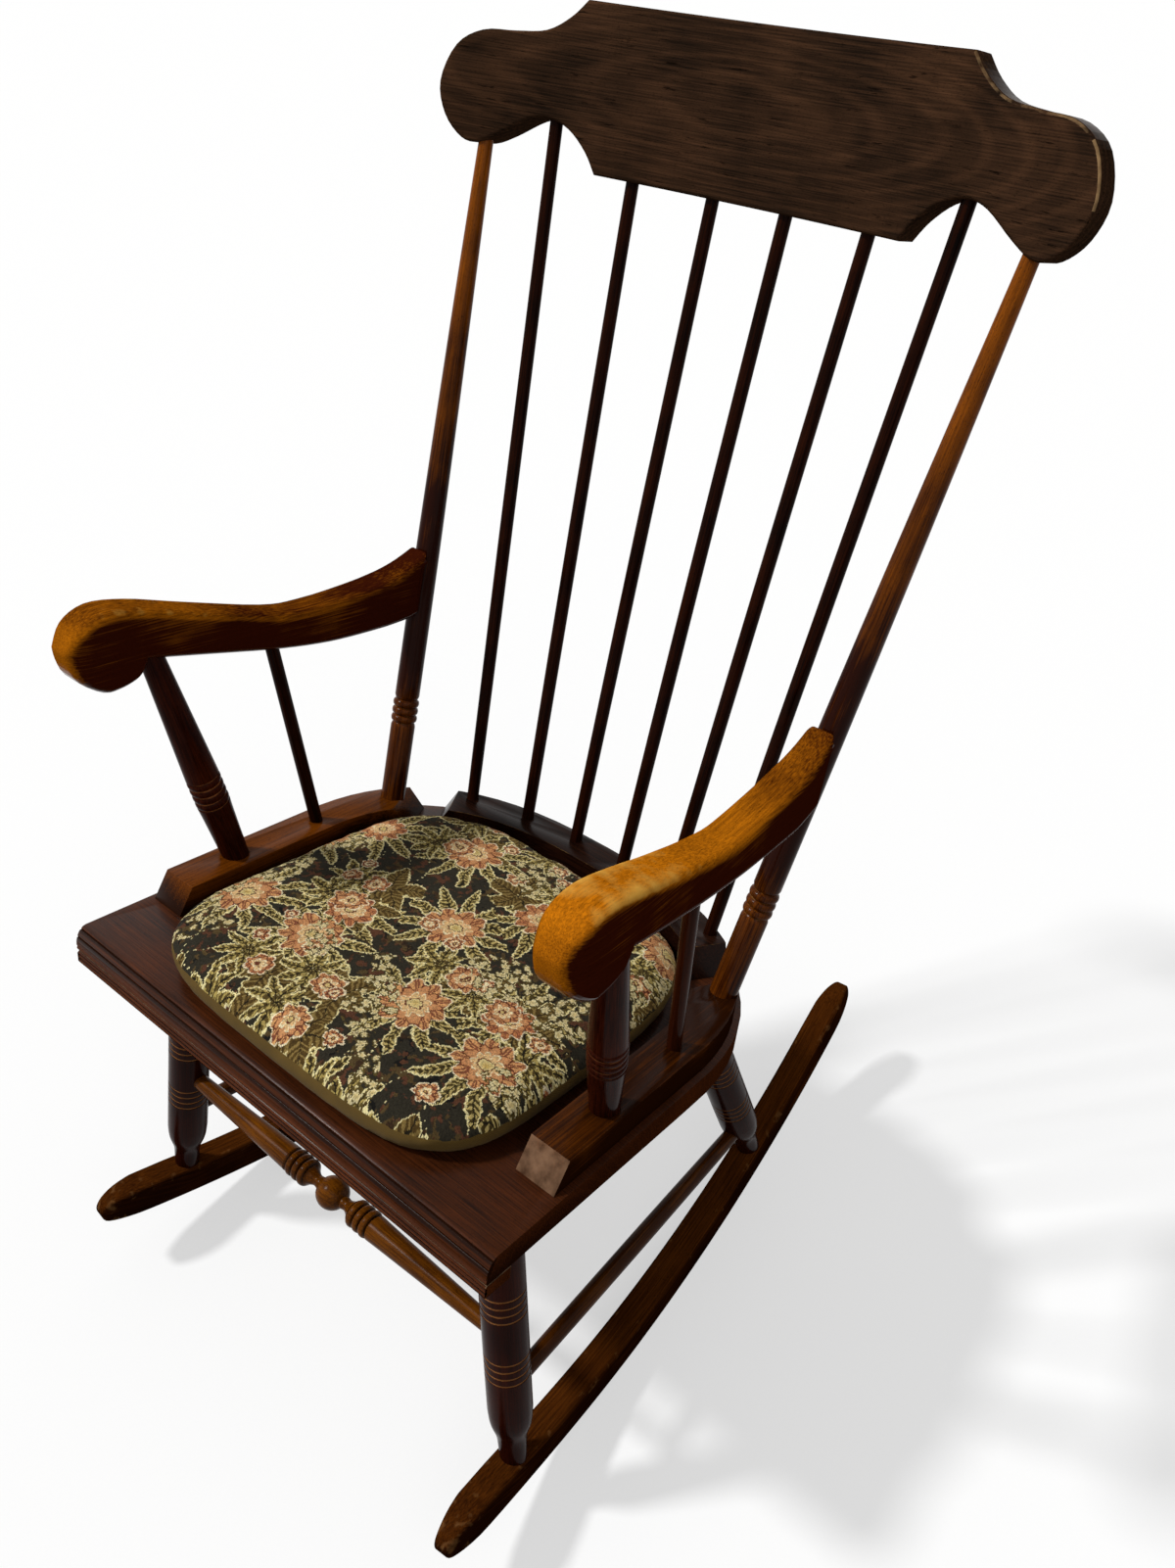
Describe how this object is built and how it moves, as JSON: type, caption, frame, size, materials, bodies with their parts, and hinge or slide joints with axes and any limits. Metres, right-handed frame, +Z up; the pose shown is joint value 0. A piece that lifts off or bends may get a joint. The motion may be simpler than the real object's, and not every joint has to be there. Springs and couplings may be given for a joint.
{
  "type": "boston rocking chair",
  "caption": "Wooden rocking chair with a shaped crest rail over turned spindles, scrolled arms, turned legs on bent runners and a loose floral seat pad.",
  "frame": {"origin": "middle of the chair's footprint box, on the floor, with the chair at rest", "axes": "+Z up, +Y to the back of the chair, -Y to its front, +X to the right as seen from the front, as left and right are in the node names"},
  "size_m": [0.6042, 0.728, 1.0785],
  "materials": {
    "seat": "dark red-brown stain, satin varnish",
    "block": "amber-brown stain, satin varnish",
    "dark": "near-black stain, gloss varnish",
    "crest": "very dark stain, satin varnish",
    "post": "honey-brown stain, gloss varnish",
    "arm": "golden amber stain, worn at the front",
    "leg": "dark brown stain, satin varnish",
    "stretcher": "amber-brown stain, satin varnish",
    "runner": "brown stain, satin varnish",
    "pad": "woven floral tapestry with a plain olive side band",
    "dowel": "bare beech",
    "screw": "plain steel"
  },
  "bodies": {
    "chair": {"seat_board": "seat", "front_moulding": "seat", "side_block_left": "block", "side_block_right": "block", "back_block": "dark", "back_post_left": "post", "back_post_right": "post", "spindle_1": "dark", "spindle_2": "dark", "spindle_3": "dark", "spindle_4": "dark", "spindle_5": "dark", "spindle_6": "dark", "crest_rail": "crest", "arm_left": "arm", "arm_right": "arm", "arm_post_left": "leg", "arm_post_right": "leg", "arm_spindle_left": "dark", "arm_spindle_right": "dark", "leg_front_left": "leg", "leg_front_right": "leg", "leg_rear_left": "leg", "leg_rear_right": "leg", "front_stretcher": "stretcher", "side_stretcher_left": "stretcher", "side_stretcher_right": "stretcher", "rear_stretcher": "stretcher", "runner_left": "runner", "runner_right": "runner", "arm_dowel_left": "dowel", "arm_dowel_right": "dowel", "side_block_screw_left_1": "screw", "side_block_screw_left_2": "screw", "side_block_screw_right_1": "screw", "side_block_screw_right_2": "screw", "back_block_screw_left": "screw", "back_block_screw_right": "screw"},
    "cushion": {"seat_cushion": "pad"}
  },
  "joints": [
    {"name": "cushion_lift", "type": "slide", "parent": "chair", "child": "cushion", "axis": [0, 0.1564, 0.9877], "range_m": [0, 0.3]}
  ]
}
